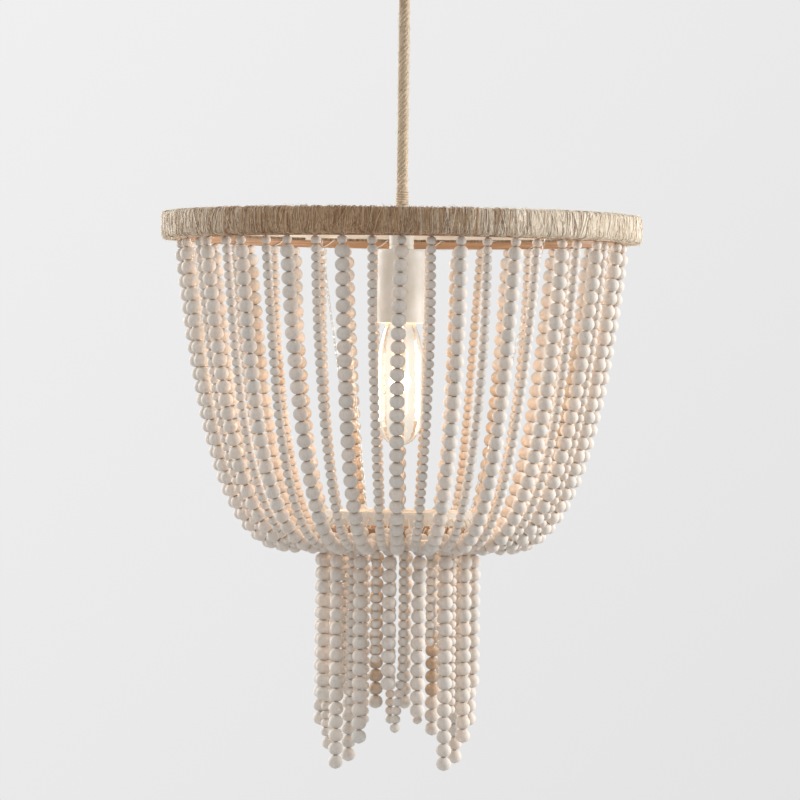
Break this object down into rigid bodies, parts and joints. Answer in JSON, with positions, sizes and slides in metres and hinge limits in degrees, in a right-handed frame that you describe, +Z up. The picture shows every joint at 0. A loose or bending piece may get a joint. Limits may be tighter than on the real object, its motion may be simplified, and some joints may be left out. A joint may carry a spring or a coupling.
{
  "type": "beaded chandelier",
  "caption": "Pendant light: a rope-wound ring carries strands of round wooden beads that drape as a bowl round a bulb, over a lower hoop with a long bead tassel.",
  "frame": {"origin": "middle of the flat face that lies on the ceiling", "axes": "+Z up out of the ceiling face, -Y towards the front of the lamp, +X to the right seen from the front"},
  "size_m": [0.4572, 0.4572, 0.7676],
  "materials": {
    "bead_wood": "whitewashed turned wood, matt",
    "jute": "twisted jute, wound",
    "brown_wood": "stained, satin",
    "cream_paint": "cream paint, satin",
    "holder_plastic": "moulded thermoset",
    "brass": "plated, satin",
    "pale_steel": "zinc plated",
    "bulb_glass": "clear",
    "filament_glass": "glass stem with glowing strips"
  },
  "bodies": {
    "ceiling_fitting": {"ceiling_bracket": "pale_steel", "canopy": "cream_paint", "canopy_nut_left": "brass", "canopy_nut_right": "brass", "cord_grip": "cream_paint"},
    "cord": {"pendant_cord": "jute"},
    "lamp": {"hub": "cream_paint", "spider": "cream_paint", "top_ring": "jute", "bead_rail": "brown_wood", "socket_neck": "cream_paint", "socket_housing": "cream_paint", "lamp_holder": "holder_plastic", "hoop_chain_1": "pale_steel", "hoop_chain_2": "pale_steel", "hoop_chain_3": "pale_steel", "lower_hoop": "cream_paint", "bowl_pair_01": "bead_wood", "bowl_pair_02": "bead_wood", "bowl_pair_03": "bead_wood", "bowl_pair_04": "bead_wood", "bowl_pair_05": "bead_wood", "bowl_pair_06": "bead_wood", "bowl_pair_07": "bead_wood", "bowl_pair_08": "bead_wood", "bowl_pair_09": "bead_wood", "bowl_pair_10": "bead_wood", "bowl_pair_11": "bead_wood", "bowl_pair_12": "bead_wood", "bowl_pair_13": "bead_wood", "bowl_pair_14": "bead_wood", "bowl_pair_15": "bead_wood", "bowl_pair_16": "bead_wood", "bowl_pair_17": "bead_wood", "bowl_pair_18": "bead_wood", "bowl_pair_19": "bead_wood", "bowl_pair_20": "bead_wood", "bowl_pair_21": "bead_wood", "bowl_pair_22": "bead_wood", "bowl_pair_23": "bead_wood", "bowl_pair_24": "bead_wood"},
    "bulb": {"bulb_cap": "brass", "bulb_glass": "bulb_glass", "bulb_filament": "filament_glass"},
    "tassel_01": {"tassel_pair_01": "bead_wood"},
    "tassel_02": {"tassel_pair_02": "bead_wood"},
    "tassel_03": {"tassel_pair_03": "bead_wood"},
    "tassel_04": {"tassel_pair_04": "bead_wood"},
    "tassel_05": {"tassel_pair_05": "bead_wood"},
    "tassel_06": {"tassel_pair_06": "bead_wood"},
    "tassel_07": {"tassel_pair_07": "bead_wood"},
    "tassel_08": {"tassel_pair_08": "bead_wood"},
    "tassel_09": {"tassel_pair_09": "bead_wood"},
    "tassel_10": {"tassel_pair_10": "bead_wood"},
    "tassel_11": {"tassel_pair_11": "bead_wood"},
    "tassel_12": {"tassel_pair_12": "bead_wood"},
    "tassel_13": {"tassel_pair_13": "bead_wood"},
    "tassel_14": {"tassel_pair_14": "bead_wood"},
    "tassel_15": {"tassel_pair_15": "bead_wood"},
    "tassel_16": {"tassel_pair_16": "bead_wood"}
  },
  "joints": [
    {"name": "cord_swing", "type": "hinge", "parent": "ceiling_fitting", "child": "cord", "pos_m": [0, 0, -0.031], "axis": [0, 1, 0], "range_deg": [-12, 12]},
    {"name": "lamp_sway", "type": "hinge", "parent": "cord", "child": "lamp", "pos_m": [0, 0, -0.242], "axis": [1, 0, 0], "range_deg": [-8, 8]},
    {"name": "bulb_release", "type": "slide", "parent": "lamp", "child": "bulb", "axis": [0, 0, -1], "range_m": [0, 0.028]},
    {"name": "tassel_swing_01", "type": "hinge", "parent": "lamp", "child": "tassel_01", "pos_m": [0.02582, -0.06431, -0.5451], "axis": [-0.928, -0.3726, 0], "range_deg": [-4, 10]},
    {"name": "tassel_swing_02", "type": "hinge", "parent": "lamp", "child": "tassel_02", "pos_m": [0.04847, -0.04953, -0.5451], "axis": [-0.7148, -0.6994, 0], "range_deg": [-4, 10]},
    {"name": "tassel_swing_03", "type": "hinge", "parent": "lamp", "child": "tassel_03", "pos_m": [0.06373, -0.02722, -0.5451], "axis": [-0.3927, -0.9197, 0], "range_deg": [-4, 10]},
    {"name": "tassel_swing_04", "type": "hinge", "parent": "lamp", "child": "tassel_04", "pos_m": [0.0693, -0.00076, -0.5451], "axis": [-0.0109, -0.9999, 0], "range_deg": [-4, 10]},
    {"name": "tassel_swing_05", "type": "hinge", "parent": "lamp", "child": "tassel_05", "pos_m": [0.06431, 0.02582, -0.5451], "axis": [0.3726, -0.928, 0], "range_deg": [-4, 10]},
    {"name": "tassel_swing_06", "type": "hinge", "parent": "lamp", "child": "tassel_06", "pos_m": [0.04953, 0.04847, -0.5451], "axis": [0.6994, -0.7148, 0], "range_deg": [-4, 10]},
    {"name": "tassel_swing_07", "type": "hinge", "parent": "lamp", "child": "tassel_07", "pos_m": [0.02722, 0.06373, -0.5451], "axis": [0.9197, -0.3927, 0], "range_deg": [-4, 10]},
    {"name": "tassel_swing_08", "type": "hinge", "parent": "lamp", "child": "tassel_08", "pos_m": [0.00076, 0.0693, -0.5451], "axis": [0.9999, -0.0109, 0], "range_deg": [-4, 10]},
    {"name": "tassel_swing_09", "type": "hinge", "parent": "lamp", "child": "tassel_09", "pos_m": [-0.02582, 0.06431, -0.5451], "axis": [0.928, 0.3726, 0], "range_deg": [-4, 10]},
    {"name": "tassel_swing_10", "type": "hinge", "parent": "lamp", "child": "tassel_10", "pos_m": [-0.04847, 0.04953, -0.5451], "axis": [0.7148, 0.6994, 0], "range_deg": [-4, 10]},
    {"name": "tassel_swing_11", "type": "hinge", "parent": "lamp", "child": "tassel_11", "pos_m": [-0.06373, 0.02722, -0.5451], "axis": [0.3927, 0.9197, 0], "range_deg": [-4, 10]},
    {"name": "tassel_swing_12", "type": "hinge", "parent": "lamp", "child": "tassel_12", "pos_m": [-0.0693, 0.00076, -0.5451], "axis": [0.0109, 0.9999, 0], "range_deg": [-4, 10]},
    {"name": "tassel_swing_13", "type": "hinge", "parent": "lamp", "child": "tassel_13", "pos_m": [-0.06431, -0.02582, -0.5451], "axis": [-0.3726, 0.928, 0], "range_deg": [-4, 10]},
    {"name": "tassel_swing_14", "type": "hinge", "parent": "lamp", "child": "tassel_14", "pos_m": [-0.04953, -0.04847, -0.5451], "axis": [-0.6994, 0.7148, 0], "range_deg": [-4, 10]},
    {"name": "tassel_swing_15", "type": "hinge", "parent": "lamp", "child": "tassel_15", "pos_m": [-0.02722, -0.06373, -0.5451], "axis": [-0.9197, 0.3927, 0], "range_deg": [-4, 10]},
    {"name": "tassel_swing_16", "type": "hinge", "parent": "lamp", "child": "tassel_16", "pos_m": [-0.00076, -0.0693, -0.5451], "axis": [-0.9999, 0.0109, 0], "range_deg": [-4, 10]}
  ]
}
